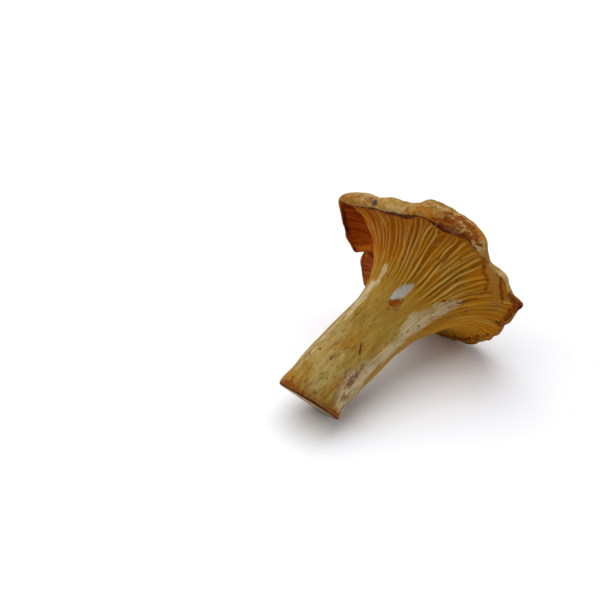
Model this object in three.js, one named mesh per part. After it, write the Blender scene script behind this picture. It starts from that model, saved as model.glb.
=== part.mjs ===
// A chanterelle mushroom, picked and laid on its side: a solid stem that flares into a wavy cap, with
// blunt ridges running down the underside. It grew as one piece of flesh, so it is one solid.
//
// The mushroom is drawn as it grew: its axis runs up +Z from the middle of the cut, azimuth 0 is +X, and
// every meridian is one profile, from the cut, up the stem, along the ridged underside to the margin,
// round the lip and over the top of the cap. The group then lays it on its side. Millimetres, degrees.
import * as THREE from 'three';

// How the mushroom lies: the cut's rim and the cap's margin share the ground plane.
const LEAN = 16.97; // stem axis above the ground
const ROLL = 218.5; // turn about the stem axis before it is laid down

// Stem: radius and sideways sway of its axis, by height above the middle of the cut.
const STEM_RADIUS = [[-7, 9.2], [0, 9.5], [8, 9.9], [20, 9.1], [28, 9.3], [35, 9.9]];
const STEM_SWAY = [[-7, -1.0], [0, 0], [8, 1.1], [22, 0.8], [34, 0.6], [46, 1.2], [56, 2.6], [66, 3.2]];
const STEM_OVAL = 0.03; // how far the section departs from round, as a share of the radius
const STEM_LOBES = 0.02;
// Swellings and hollows of the stem: azimuth, height, half width in degrees and in mm, growth in radius.
const STEM_SWELLS = [
  [-115, -1, 45, 4, 0.9],
  [-100, 9, 45, 7, -0.65],
  [-98, 23, 40, 7, 0.5],
  [-102, 37, 35, 5, -0.4],
  [82, 5, 32, 4.5, -1.3],
  [90, 13, 40, 7, -0.75],
  [80, 27, 40, 6, -0.4],
  [92, 33, 45, 5, 0.3],
];
const CUT_SLOPE = 0.4; // the knife went through at a slant, lowest at azimuth 0
const CUT_SKEW = 0.17;
const CUT_SAG = { depth: 0.45, azimuth: -110 }; // the cut sinks a little more on this side

// Underside: where the stem begins to flare, and how long each end of the flare holds its direction.
const FLARE_START = 33;
const FLARE_HOLD = 11;
const FLARE_HOLD_FAR = 6; // added on the far side, where the cap spreads late
const FAR_SIDE = { azimuth: -125, width: 35 };
const MARGIN_HOLD = 0.55; // share of the flare's reach

// The wing: the lobe behind the fold, whose underside climbs high before it curls down to its edge. It
// comes in and fades out over these azimuths.
const WING = { start: [-95, -89], end: [-143, -135], pitch: -42, hold: 0.85 };

// Margin, station by station: azimuth, reach from the axis, height, pitch of the underside as it meets
// the edge (negative curls down), height of the lip above the edge, and how far the lip bulges outwards.
const MARGIN = [
  [-100, 30.9, 55.4, -5, 3.6, 1.4],
  [-92, 27.9, 54.4, -14, 6.9, 2.0],
  [-80, 25.6, 53.6, -20, 5.4, 2.2],
  [-70, 24.4, 53.0, -24, 5.4, 2.1],
  [-62, 23.6, 52.6, -26, 6.0, 2.2],
  [-52, 22.8, 52.4, -28, 7.3, 2.6],
  [-44, 22.4, 52.4, -26, 7.2, 2.6],
  [-36, 23.4, 52.6, -24, 7.2, 2.4],
  [-29, 25.0, 52.6, -26, 8.5, 2.6],
  [-22, 27.0, 52.2, -30, 8.1, 2.6],
  [-16, 27.0, 52.0, -33, 7.9, 2.6],
  [-10, 26.3, 52.4, -29, 9.1, 2.7],
  [-4, 27.6, 53.2, -20, 8.3, 2.6],
  [2, 28.4, 53.6, -14, 6.6, 2.6],
  [8, 30.0, 53.9, -6, 5.9, 3.8],
  [12, 29.6, 54.1, 0, 5.0, 4.0],
  [15, 29.2, 54.3, 3, 3.6, 2.6],
  [19, 29.2, 54.5, 5, 1.8, 0.6],
  [23, 29.1, 54.5, 7, 1.5, 0.5],
  [26, 29.8, 54.4, 8, 1.8, 0.5],
  [30, 31.1, 54.5, 8, 2.0, 0.5],
  [35, 31.5, 54.6, 8, 2.0, 0.5],
  [41, 31.4, 54.6, 6, 2.0, 0.4],
  [45, 32.4, 54.8, 5, 1.6, 0.4],
  [49.5, 34.4, 55.2, 4, 1.2, 0.3],
  [53, 32.9, 54.9, 4, 1.4, 0.4],
  [58, 31.8, 54.6, 3, 2.0, 0.6],
  [64, 30.1, 54.6, 1, 2.6, 0.8],
  [72, 28.9, 54.9, -2, 2.8, 0.8],
  [80, 28.7, 55.2, -4, 2.8, 0.8],
  [92, 28.1, 55.4, -6, 3.0, 1.1],
  [114, 27.8, 55.4, -10, 3.2, 1.2],
  [121, 27.0, 55.0, -10, 3.3, 1.2],
  [128, 25.9, 54.5, -11, 3.4, 1.2],
  [140, 24.9, 54.2, -12, 3.4, 1.2],
  [152, 25.4, 54.3, -11, 3.2, 1.2],
  [168, 28.1, 55.5, -8, 3.2, 1.2],
  [178, 29.0, 56.0, -4, 3.0, 1.0],
  [188, 29.2, 55.0, -6, 2.8, 1.0],
  [196, 27.8, 53.6, -6, 2.8, 1.0],
  [201, 26.3, 53.5, -8, 2.8, 0.9],
  [207.5, 25.3, 54.3, -8, 2.6, 0.9],
  [213.4, 24.9, 55.0, -8, 2.4, 0.8],
  [217.2, 24.0, 56.0, -8, 2.2, 0.7],
  [221.5, 22.7, 57.2, -8, 1.8, 0.6],
  [226, 22.8, 54.9, -8, 2.2, 0.6],
  [230.5, 22.6, 52.5, -6, 2.4, 0.7],
  [234.2, 24.1, 53.0, -8, 2.4, 0.8],
  [240.3, 26.0, 53.5, -8, 2.4, 0.8],
  [248, 27.4, 53.9, -8, 2.6, 0.8],
  [255, 28.7, 54.3, -8, 3.0, 1.0],
];

// Top of the cap: a low dome with a shallow hollow in the middle.
const CROWN_HEIGHT = 63.5;
const CROWN_HOLD = 14;
const SHOULDER_SLOPE = 28;
const SHOULDER_HOLD = 5;
const HOLLOW_DEPTH = 3;
const HOLLOW_RADIUS = 8;

// Ridges on the underside: three columns of points to a ridge, one crest and two in the valley.
const RIDGES = 64;
const COLUMNS_PER_RIDGE = 3;
const CREST_HEIGHT = 0.75;
const VALLEY_DEPTH = 0.2;
const RIDGES_RISE_BY = 0.3; // share of the flare over which they grow out of the stem
const RIDGES_FADE_FROM = 0.93; // share of the flare where they sink into the margin

const FINE = RIDGES * COLUMNS_PER_RIDGE; // columns round the ridged underside
const COARSE = FINE / 2; // columns round the stem and the top
const CUT_RINGS = 2;
const STEM_RINGS = 7;
const FLARE_RINGS = 12;
const LIP_RINGS = 4;
const CROWN_RINGS = 7;

const radians = THREE.MathUtils.degToRad;

// A smooth curve through [x, y] knots. Its slope at each knot comes from the knots on either side.
function smoothLine(knots, x) {
  const last = knots.length - 1;
  const slope = (i) => {
    const a = knots[Math.max(i - 1, 0)];
    const b = knots[Math.min(i + 1, last)];
    if (i === 0 || i === last) {
      return (b[1] - a[1]) / (b[0] - a[0]);
    }
    const before = knots[i][0] - a[0];
    const after = b[0] - knots[i][0];
    const rise = ((knots[i][1] - a[1]) / before) * after + ((b[1] - knots[i][1]) / after) * before;
    return rise / (before + after);
  };
  const at = THREE.MathUtils.clamp(x, knots[0][0], knots[last][0]);
  const next = Math.max(1, knots.findIndex((knot) => knot[0] >= at));
  const span = knots[next][0] - knots[next - 1][0];
  const t = (at - knots[next - 1][0]) / span;
  const eased = t * t * (3 - 2 * t);
  return knots[next - 1][1] * (1 - eased) + knots[next][1] * eased
    + span * t * (1 - t) * (slope(next - 1) * (1 - t) - slope(next) * t);
}

// The margin's measures at any azimuth. The stations run once round, so both ends are lapped by two.
const lapped = [
  ...MARGIN.slice(-2).map(([azimuth, ...rest]) => [azimuth - 360, ...rest]),
  ...MARGIN,
  ...MARGIN.slice(0, 2).map(([azimuth, ...rest]) => [azimuth + 360, ...rest]),
];

// Degrees from one azimuth to another, the short way round.
const turnFrom = (middle, azimuth) => THREE.MathUtils.euclideanModulo(azimuth - middle + 180, 360) - 180;

function marginAt(azimuth) {
  const first = MARGIN[0][0];
  const turned = THREE.MathUtils.euclideanModulo(azimuth - first, 360) + first;
  const measure = (column) => smoothLine(lapped.map((row) => [row[0], row[column]]), turned);
  const side = turnFrom(0, azimuth);
  const before = THREE.MathUtils.smoothstep(side, ...WING.end);
  const beyond = THREE.MathUtils.smoothstep(side, ...WING.start);
  const wing = before * (1 - beyond);
  return {
    reach: measure(1),
    height: measure(2),
    pitch: radians(THREE.MathUtils.lerp(measure(3), WING.pitch, wing)),
    hold: THREE.MathUtils.lerp(MARGIN_HOLD, WING.hold, wing),
    lip: measure(4),
    bulge: measure(5),
  };
}

function stemRadius(azimuth, height) {
  const oval = STEM_OVAL * Math.cos(2 * radians(azimuth - 60));
  const lobes = STEM_LOBES * Math.cos(3 * radians(azimuth + 20));
  const swells = STEM_SWELLS.map(([middle, level, halfAngle, halfHeight, growth]) => {
    const aside = turnFrom(middle, azimuth) / halfAngle;
    const above = (height - level) / halfHeight;
    return growth * Math.exp(-(aside ** 2) - above ** 2);
  });
  const swelling = swells.reduce((sum, swell) => sum + swell);
  return smoothLine(STEM_RADIUS, height) * (1 + oval + lobes) + swelling;
}

function cutHeight(azimuth) {
  const slant = CUT_SKEW * Math.sin(radians(azimuth)) - CUT_SLOPE * Math.cos(radians(azimuth));
  const sag = CUT_SAG.depth * (1 + Math.cos(radians(azimuth - CUT_SAG.azimuth)));
  return stemRadius(azimuth, 0) * slant - sag;
}

// One meridian, as curves of (distance from the axis, height).
function meridian(azimuth) {
  const margin = marginAt(azimuth);
  const foot = stemRadius(azimuth, FLARE_START);
  const footSlope = foot - stemRadius(azimuth, FLARE_START - 1);
  const offFar = turnFrom(FAR_SIDE.azimuth, azimuth) / FAR_SIDE.width;
  const hold = FLARE_HOLD + FLARE_HOLD_FAR * Math.exp(-offFar * offFar);
  const inward = margin.hold * (margin.reach - foot);
  const shoulder = new THREE.Vector2(margin.reach - 0.4 * margin.bulge, margin.height + margin.lip);
  const slope = radians(SHOULDER_SLOPE);
  return {
    underside: new THREE.CubicBezierCurve(
      new THREE.Vector2(foot, FLARE_START),
      new THREE.Vector2(foot + footSlope * hold, FLARE_START + hold),
      new THREE.Vector2(
        margin.reach - inward * Math.cos(margin.pitch),
        margin.height - inward * Math.sin(margin.pitch),
      ),
      new THREE.Vector2(margin.reach, margin.height),
    ),
    lip: new THREE.CubicBezierCurve(
      new THREE.Vector2(margin.reach, margin.height),
      new THREE.Vector2(margin.reach + 1.3 * margin.bulge, margin.height - 0.1 * margin.lip),
      new THREE.Vector2(shoulder.x + 1.3 * margin.bulge, shoulder.y - 0.35 * margin.lip),
      shoulder,
    ),
    crown: new THREE.CubicBezierCurve(
      shoulder,
      new THREE.Vector2(
        shoulder.x - SHOULDER_HOLD * Math.cos(slope),
        shoulder.y + SHOULDER_HOLD * Math.sin(slope),
      ),
      new THREE.Vector2(CROWN_HOLD, CROWN_HEIGHT),
      new THREE.Vector2(0, CROWN_HEIGHT),
    ),
  };
}

// How far a point of the underside stands off the plain flare, at a share t of the way to the margin.
function ridgeLift(column, t) {
  const rise = THREE.MathUtils.smoothstep(t, 0, RIDGES_RISE_BY);
  const fade = 1 - THREE.MathUtils.smoothstep(t, RIDGES_FADE_FROM, 1);
  const lift = column % COLUMNS_PER_RIDGE === 0 ? CREST_HEIGHT : -VALLEY_DEPTH;
  return lift * rise * fade;
}

// A point of the skin from its azimuth, distance from the axis and height.
function place(azimuth, distance, height) {
  return [
    distance * Math.cos(radians(azimuth)),
    distance * Math.sin(radians(azimuth)) - smoothLine(STEM_SWAY, height),
    height,
  ];
}

// The rings of points from the middle of the cut to the middle of the crown, each a list of points.
function skinRings() {
  const azimuths = Array.from({ length: FINE }, (_, column) => MARGIN[0][0] + (360 * column) / FINE);
  const meridians = azimuths.map(meridian);
  const shares = (count) => Array.from({ length: count }, (_, i) => (i + 1) / count);
  const ring = (columns, point) => Array.from(
    { length: columns },
    (_, i) => {
      const column = (i * FINE) / columns;
      return point(azimuths[column], meridians[column], column);
    },
  );
  const cut = shares(CUT_RINGS).map((t) => ring(COARSE, (azimuth) => (
    place(azimuth, stemRadius(azimuth, 0) * t, cutHeight(azimuth) * t))));
  const stem = shares(STEM_RINGS).slice(0, -1).map((t) => ring(COARSE, (azimuth) => {
    const height = THREE.MathUtils.lerp(cutHeight(azimuth), FLARE_START, t);
    return place(azimuth, stemRadius(azimuth, height), height);
  }));
  const flare = [0, ...shares(FLARE_RINGS)].map((t) => ring(FINE, (azimuth, { underside }, column) => {
    const at = underside.getPoint(t);
    const along = underside.getTangent(t);
    const lift = ridgeLift(column, t);
    return place(azimuth, at.x + along.y * lift, at.y - along.x * lift);
  }));
  const lip = shares(LIP_RINGS).map((t, i) => ring(i < LIP_RINGS - 1 ? FINE : COARSE, (azimuth, curves) => {
    const at = curves.lip.getPoint(t);
    return place(azimuth, at.x, at.y);
  }));
  const hollow = (distance) => HOLLOW_DEPTH * Math.exp(-((distance / HOLLOW_RADIUS) ** 2));
  const crown = shares(CROWN_RINGS).slice(0, -1).map((t) => ring(COARSE, (azimuth, curves) => {
    const at = curves.crown.getPoint(t);
    return place(azimuth, at.x, at.y - hollow(at.x));
  }));
  return [
    [place(0, 0, 0)],
    ...cut, ...stem, ...flare, ...lip, ...crown,
    [place(0, 0, CROWN_HEIGHT - HOLLOW_DEPTH)],
  ];
}

// The triangles between two neighbouring rings, where one may have twice the points of the other or
// be a single point. Rings run from the cut to the crown, and the faces point outwards.
function stitch(lower, upper) {
  const faces = [];
  const columns = Math.max(lower.length, upper.length);
  const pick = (ring, i) => ring[Math.floor(((i % columns) * ring.length) / columns)];
  for (let i = 0; i < columns; i += 1) {
    const [a, b] = [pick(lower, i), pick(lower, i + 1)];
    const [c, d] = [pick(upper, i), pick(upper, i + 1)];
    if (a !== b) {
      faces.push(a, b, d);
    }
    if (c !== d) {
      faces.push(a, d, c);
    }
  }
  return faces;
}

function mushroomGeometry() {
  const rings = skinRings();
  let count = 0;
  const numbered = rings.map((ring) => ring.map(() => count++));
  const faces = numbered.slice(1).flatMap((ring, i) => stitch(numbered[i], ring));
  const geometry = new THREE.BufferGeometry();
  geometry.setAttribute('position', new THREE.Float32BufferAttribute(rings.flat(2), 3));
  geometry.setIndex(faces);
  geometry.computeVertexNormals();
  return geometry;
}

const flesh = new THREE.MeshStandardMaterial({ color: 0xb9802f, roughness: 0.75, metalness: 0 });
const mushroom = new THREE.Mesh(mushroomGeometry(), flesh);
mushroom.name = 'mushroom';
mushroom.rotation.set(0, radians(90 - LEAN), radians(ROLL));

// Set down on the ground, with the origin under the middle of its box.
const chanterelle = new THREE.Group();
chanterelle.add(mushroom);
const box = new THREE.Box3().setFromObject(chanterelle, true);
const middle = box.getCenter(new THREE.Vector3());
chanterelle.position.set(-middle.x, -middle.y, -box.min.z);

export default chanterelle;
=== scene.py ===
"""A picked chanterelle mushroom lying on its side, made from one ridged skin with scattered soil.

Shapes are worked out in the frame the mushroom grew in: its axis runs up +Z from the middle of the
cut, azimuth 0 is +X, and "along" runs from -1 in the middle of the cut, by 0 at its rim, 1 where the
stem starts to flare, 2 at the margin and 3 at the shoulder, to 4 in the middle of the crown.
Outlines are in millimetres; everything handed to Blender is in metres.
"""

from math import cos, pi, radians, sin

import bpy
import numpy as np
from mathutils import Matrix, Vector, noise


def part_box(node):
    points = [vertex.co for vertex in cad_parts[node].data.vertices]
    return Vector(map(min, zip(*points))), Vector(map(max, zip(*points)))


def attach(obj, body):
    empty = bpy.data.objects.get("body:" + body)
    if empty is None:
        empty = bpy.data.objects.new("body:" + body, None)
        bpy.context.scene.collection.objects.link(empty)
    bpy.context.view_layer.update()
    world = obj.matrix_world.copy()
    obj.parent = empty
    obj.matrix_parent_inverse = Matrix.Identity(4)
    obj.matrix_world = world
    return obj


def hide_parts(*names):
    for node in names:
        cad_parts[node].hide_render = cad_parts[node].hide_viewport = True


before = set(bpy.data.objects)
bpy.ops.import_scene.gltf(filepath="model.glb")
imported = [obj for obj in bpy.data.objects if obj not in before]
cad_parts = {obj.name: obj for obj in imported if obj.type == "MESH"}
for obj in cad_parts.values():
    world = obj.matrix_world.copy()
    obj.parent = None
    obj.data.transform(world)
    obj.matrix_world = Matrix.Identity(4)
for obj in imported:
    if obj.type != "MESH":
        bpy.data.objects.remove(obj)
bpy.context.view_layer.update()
LOW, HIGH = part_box("mushroom")

bl_info = {
    "name": "Chanterelle mushroom",
    "version": (1, 0, 0),
    "blender": (4, 5, 0),
    "location": "3D View > Sidebar > Mushroom",
    "description": "Builds a picked chanterelle, the soil on it and a plain stage",
    "category": "Add Mesh",
}

MM = 0.001
SEED = 7

# How it lies: the cut's rim and the margin of the cap share the ground.
LEAN = 16.97
ROLL = 218.5
SET_DOWN = (-28.24, 1.18, 7.41)

# Stem: (height, radius) and (height, sideways sway), how far its section is from round, and swellings:
# azimuth, height, reach to either side in degrees and in mm, and how much the radius grows.
STEM_RADIUS = ((-7, 9.2), (0, 9.5), (8, 9.9), (20, 9.1), (28, 9.3), (35, 9.9))
STEM_SWAY = ((-7, -1.0), (0, 0), (8, 1.1), (22, 0.8), (34, 0.6), (46, 1.2), (56, 2.6), (66, 3.2))
STEM_OVAL = (0.03, 60)  # share of the radius, and azimuth of the long way
STEM_LOBES = (0.02, -20)  # the same for three low lobes
STEM_SWELLS = (
    (-115, -1, 45, 4, 0.9),
    (-100, 9, 45, 7, -0.65),
    (-98, 23, 40, 7, 0.5),
    (-102, 37, 35, 5, -0.4),
    (82, 5, 32, 4.5, -1.3),
    (90, 13, 40, 7, -0.75),
    (80, 27, 40, 6, -0.4),
    (92, 33, 45, 5, 0.3),
)
CUT_SLOPE = 0.40
CUT_SKEW = 0.17
CUT_SAG = (0.45, -110)  # mm and azimuth
CUT_ROUNDING = 0.45

# Underside: how long each end of the flare holds its direction.
FLARE_START = 33
FLARE_HOLD = 11
FLARE_HOLD_FAR = 6
FAR_SIDE = (-125, 35)
MARGIN_HOLD = 0.55

# The wing: the lobe behind the fold, whose underside climbs high before it curls down to its edge.
WING = ((-143, -135), (-95, -89))  # azimuths where its ends begin and where they are done
WING_PITCH = -42
WING_HOLD = 0.85

# The margin, station by station: azimuth, reach, height, pitch of the underside where it meets the
# edge, height of the lip above the edge and how far the lip bulges out.
MARGIN = (
    (-100, 30.9, 55.4, -5, 3.6, 1.4), (-92, 27.9, 54.4, -14, 6.9, 2.0),
    (-80, 25.6, 53.6, -20, 5.4, 2.2), (-70, 24.4, 53.0, -24, 5.4, 2.1),
    (-62, 23.6, 52.6, -26, 6.0, 2.2), (-52, 22.8, 52.4, -28, 7.3, 2.6),
    (-44, 22.4, 52.4, -26, 7.2, 2.6), (-36, 23.4, 52.6, -24, 7.2, 2.4),
    (-29, 25.0, 52.6, -26, 8.5, 2.6), (-22, 27.0, 52.2, -30, 8.1, 2.6),
    (-16, 27.0, 52.0, -33, 7.9, 2.6), (-10, 26.3, 52.4, -29, 9.1, 2.7),
    (-4, 27.6, 53.2, -20, 8.3, 2.6), (2, 28.4, 53.6, -14, 6.6, 2.6),
    (8, 30.0, 53.9, -6, 5.9, 3.8), (12, 29.6, 54.1, 0, 5.0, 4.0),
    (15, 29.2, 54.3, 3, 3.6, 2.6), (19, 29.2, 54.5, 5, 1.8, 0.6),
    (23, 29.1, 54.5, 7, 1.5, 0.5), (26, 29.8, 54.4, 8, 1.8, 0.5),
    (30, 31.1, 54.5, 8, 2.0, 0.5), (35, 31.5, 54.6, 8, 2.0, 0.5),
    (41, 31.4, 54.6, 6, 2.0, 0.4), (45, 32.4, 54.8, 5, 1.6, 0.4),
    (49.5, 34.4, 55.2, 4, 1.2, 0.3), (53, 32.9, 54.9, 4, 1.4, 0.4),
    (58, 31.8, 54.6, 3, 2.0, 0.6), (64, 30.1, 54.6, 1, 2.6, 0.8),
    (72, 28.9, 54.9, -2, 2.8, 0.8), (80, 28.7, 55.2, -4, 2.8, 0.8),
    (92, 28.1, 55.4, -6, 3.0, 1.1), (114, 27.8, 55.4, -10, 3.2, 1.2),
    (121, 27.0, 55.0, -10, 3.3, 1.2), (128, 25.9, 54.5, -11, 3.4, 1.2),
    (140, 24.9, 54.2, -12, 3.4, 1.2), (152, 25.4, 54.3, -11, 3.2, 1.2),
    (168, 28.1, 55.5, -8, 3.2, 1.2), (178, 29.0, 56.0, -4, 3.0, 1.0),
    (188, 29.2, 55.0, -6, 2.8, 1.0), (196, 27.8, 53.6, -6, 2.8, 1.0),
    (201, 26.3, 53.5, -8, 2.8, 0.9), (207.5, 25.3, 54.3, -8, 2.6, 0.9),
    (213.4, 24.9, 55.0, -8, 2.4, 0.8), (217.2, 24.0, 56.0, -8, 2.2, 0.7),
    (221.5, 22.7, 57.2, -8, 1.8, 0.6), (226, 22.8, 54.9, -8, 2.2, 0.6),
    (230.5, 22.6, 52.5, -6, 2.4, 0.7), (234.2, 24.1, 53.0, -8, 2.4, 0.8),
    (240.3, 26.0, 53.5, -8, 2.4, 0.8), (248, 27.4, 53.9, -8, 2.6, 0.8),
    (255, 28.7, 54.3, -8, 3.0, 1.0),
)
FIRST_AZIMUTH = MARGIN[0][0]

# Fine crinkles of the margin between its big waves: their size, in mm or as a share of the lip's
# height, how many go round the cap, their phase, and how far and how often they crowd together.
CRINKLES = {
    "reach": ((0.16, 23, 1, 0, 0), (0.10, 41, 0, 2, 3)),
    "height": ((0.14, 19, 0, 2, 2), (0.08, 37, 0.5, 0, 0)),
    "lip": ((0.05, 17, 0.4, 0, 0),),
}

# The lip as shares of its bulge, how far it rounds out and how far the shoulder stands back, and as
# shares of its height, how far the edge and the shoulder roll down.
LIP_ROUND = 1.3
SHOULDER_BACK = 0.4
EDGE_ROLL = 0.1
SHOULDER_ROLL = 0.35

# Top of the cap.
CROWN_HEIGHT = 63.5
CROWN_HOLD = 14
SHOULDER_SLOPE = radians(28)
SHOULDER_HOLD = 5
HOLLOW = (3, 8)  # depth and radius

# Rings and columns of the skin. The stem and the top have half the columns of the ridged side.
COLUMNS = 720
RINGS = {"cut": 10, "stem": 88, "flare": 58, "lip": 12, "crown": 28}

# Ridges: spacing in degrees, tighter on the lobe that reaches away behind the stem, and softer on
# the lower lobe. Some fork, and some are joined by a low bridge.
RIDGE_SPACING = 5.6
SPACING_SPREAD = (0.76, 1.24)
FINE_SPACING = 3.3
FINE_LOBE = (-118, 24)  # azimuth and half width
SOFT_LOBES = ((80, 42, 0.15), (-135, 42, 0.45))  # azimuth, half width and how much lower the ridges are
# Sideways waves along a ridge: half turns from the stem to the margin, and degrees.
WANDER = ((1, 0.9), (2.5, 0.55), (5, 0.3), (9, 0.16))
UNEVEN = 0.22  # how much a ridge rises and sinks along its run
# Where ridges start and end: 0 where the flare starts, 1 at the margin.
RIDGE_START = (0.0, 0.25)
PAST_MARGIN = 1.1
FADE_IN = (-0.02, 0.12)
FADE_OUT = (-0.02, 0.05)
RIDGED = ((1.04, 1.4), (1.93, 2.0))  # how far along they rise, and sink again into the margin
RIDGES_LOST = {"bald": 1, "torn": 0.9, "pale": 0.75}  # how much of them each mark takes away
FORK_SHARE = 0.6
FORK_START = (0.3, 0.72)
FORK_RUN = 0.25
FORK_PLACE = (0.42, 0.58)  # of the way to the next ridge
BRIDGE_SHARE = 0.7
BRIDGE_START = (0.3, 0.8)
BRIDGE_SPAN = 0.16
# How tall each kind grows, as a share of the ridge height.
RIDGE_TALL = (0.75, 1.15)
FORK_TALL = (0.5, 0.9)
BRIDGE_TALL = (0.25, 0.5)
RIDGE_STEPS = 41
RIDGE_HEIGHT = 0.75
RIDGE_WIDTH = 0.42  # mm from the crest to where the ridge is down to about a third
VALLEY_DEPTH = 0.12
FAR_OFF = 9.0  # mm, for skin that no crest shapes

# Relief of the skin, the stem's wrinkles and the cap's dents: depth in mm, width of the lumps in mm,
# how much longer they run along the axis, and where in the noise they are taken from. Then how far
# along each reaches: where it starts and is full, and where it begins to end and is over.
WRINKLES = ((0.26, 3.2, 7, 0.0), (0.15, 1.4, 6, 5.0), (0.30, 9, 1.5, 9.0))
WRINKLED = ((0.02, 0.15), (1.0, 1.5))
DENTS = ((0.45, 8, 1, 3.0), (0.16, 2.4, 1, 4.0))
DENTED = ((2.0, 2.5), (3.6, 3.95))
CRACK_DEPTH = 0.30
TEAR_DEPTH = 0.18
TORN_TO = 2.5  # how far along cracks and tears have a depth

# Painted shade on the lobes, by azimuth: how strongly a darker, redder orange stands in for their shade and
# for the light that passes through their thin flesh. Painted light on the thin skirt, which lets light
# through:
# how strongly a brighter orange stands in for the light on it, with how far along it reaches.
SHADED = ((-179, 0), (-150, 1), (-104, 1), (-92, 0.65), (-70, 0.52), (-35, 0.36), (5, 0))
PAINTED_LIGHT = ((-25, 0), (5, 0.6), (30, 0.6), (55, 0.15), (68, 0.25), (85, 1), (110, 1), (135, 0))
PAINTED_LIGHT_END = ((-10, 1.1), (30, 1.25), (60, 2.05))
# Painted shade close under the lip: how strongly the same darker, redder orange shows there.
UNDER_LIP_SHADE = 0.35  # how strongly the orange shows close under the lip
UNDER_LIP_SHADE_SIDE = ((-92, -80), (-5, 25))  # the azimuths between which it does

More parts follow.
